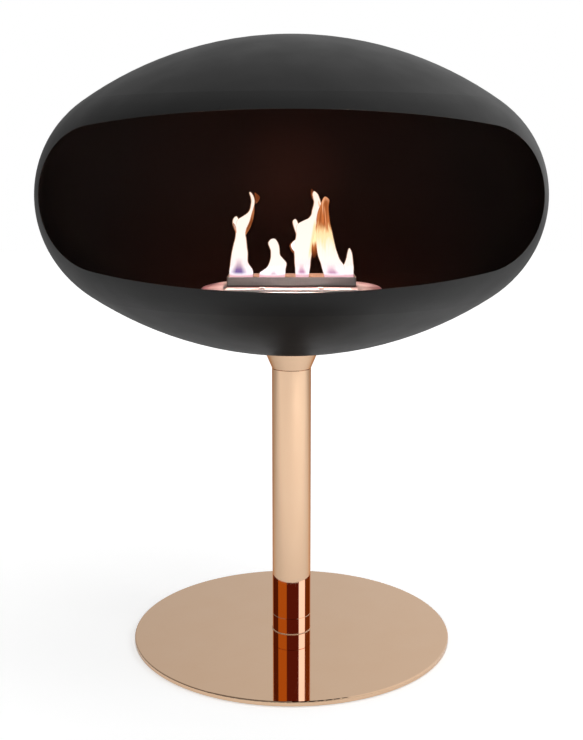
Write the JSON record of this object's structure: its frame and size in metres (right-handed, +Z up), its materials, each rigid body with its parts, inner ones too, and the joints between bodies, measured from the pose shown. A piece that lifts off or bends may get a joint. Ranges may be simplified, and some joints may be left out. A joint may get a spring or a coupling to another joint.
{
  "type": "pedestal ethanol fireplace",
  "caption": "Oval black firebox open at the front, on a polished copper mast and round base, with a lift-out ethanol burner and a sliding regulator gate.",
  "frame": {"origin": "on the floor, on the mast's axis, at the middle of the floor pad's underside", "axes": "+Z up along the mast; the firebox's opening faces -Y; +X is to the right as seen from the front"},
  "size_m": [0.5999, 0.5714, 0.74],
  "materials": {
    "felt": "pressed wool felt",
    "polished_copper": "mirror-polished, copper plated steel",
    "black_steel": "satin heat-resistant black powder coat",
    "zinc_steel": "bright zinc plated",
    "brushed_stainless": "brushed",
    "polished_stainless": "polished",
    "ceramic_fibre": "needled ceramic-fibre blanket",
    "graphite": "pressed graphite sheet"
  },
  "bodies": {
    "stand": {"floor_pad": "felt", "base_plate": "polished_copper", "base_screws": "zinc_steel", "base_collar": "polished_copper", "pedestal_tube": "polished_copper", "tie_rod": "zinc_steel", "flared_collar": "polished_copper", "shell_gasket": "graphite", "firebox_lower": "black_steel", "firebox_upper": "black_steel", "stiffener_disc": "black_steel", "carrier_pan": "black_steel", "collar_screws": "zinc_steel", "rod_washer": "zinc_steel", "rod_nut": "zinc_steel"},
    "burner": {"burner_drum": "brushed_stainless", "absorber_pad": "ceramic_fibre", "retaining_grille": "brushed_stainless", "heat_plate": "polished_stainless", "neck_gasket": "ceramic_fibre", "burner_neck": "brushed_stainless", "neck_screws": "polished_stainless", "neck_nuts": "zinc_steel", "gate_runner_left": "brushed_stainless", "gate_runner_right": "brushed_stainless"},
    "gate": {"regulator_gate": "brushed_stainless"}
  },
  "joints": [
    {"name": "burner_lift", "type": "slide", "parent": "stand", "child": "burner", "axis": [0, 0, 1], "range_m": [0, 0.09]},
    {"name": "regulator_slide", "type": "slide", "parent": "burner", "child": "gate", "axis": [0, -1, 0], "range_m": [0, 0.0435]}
  ]
}
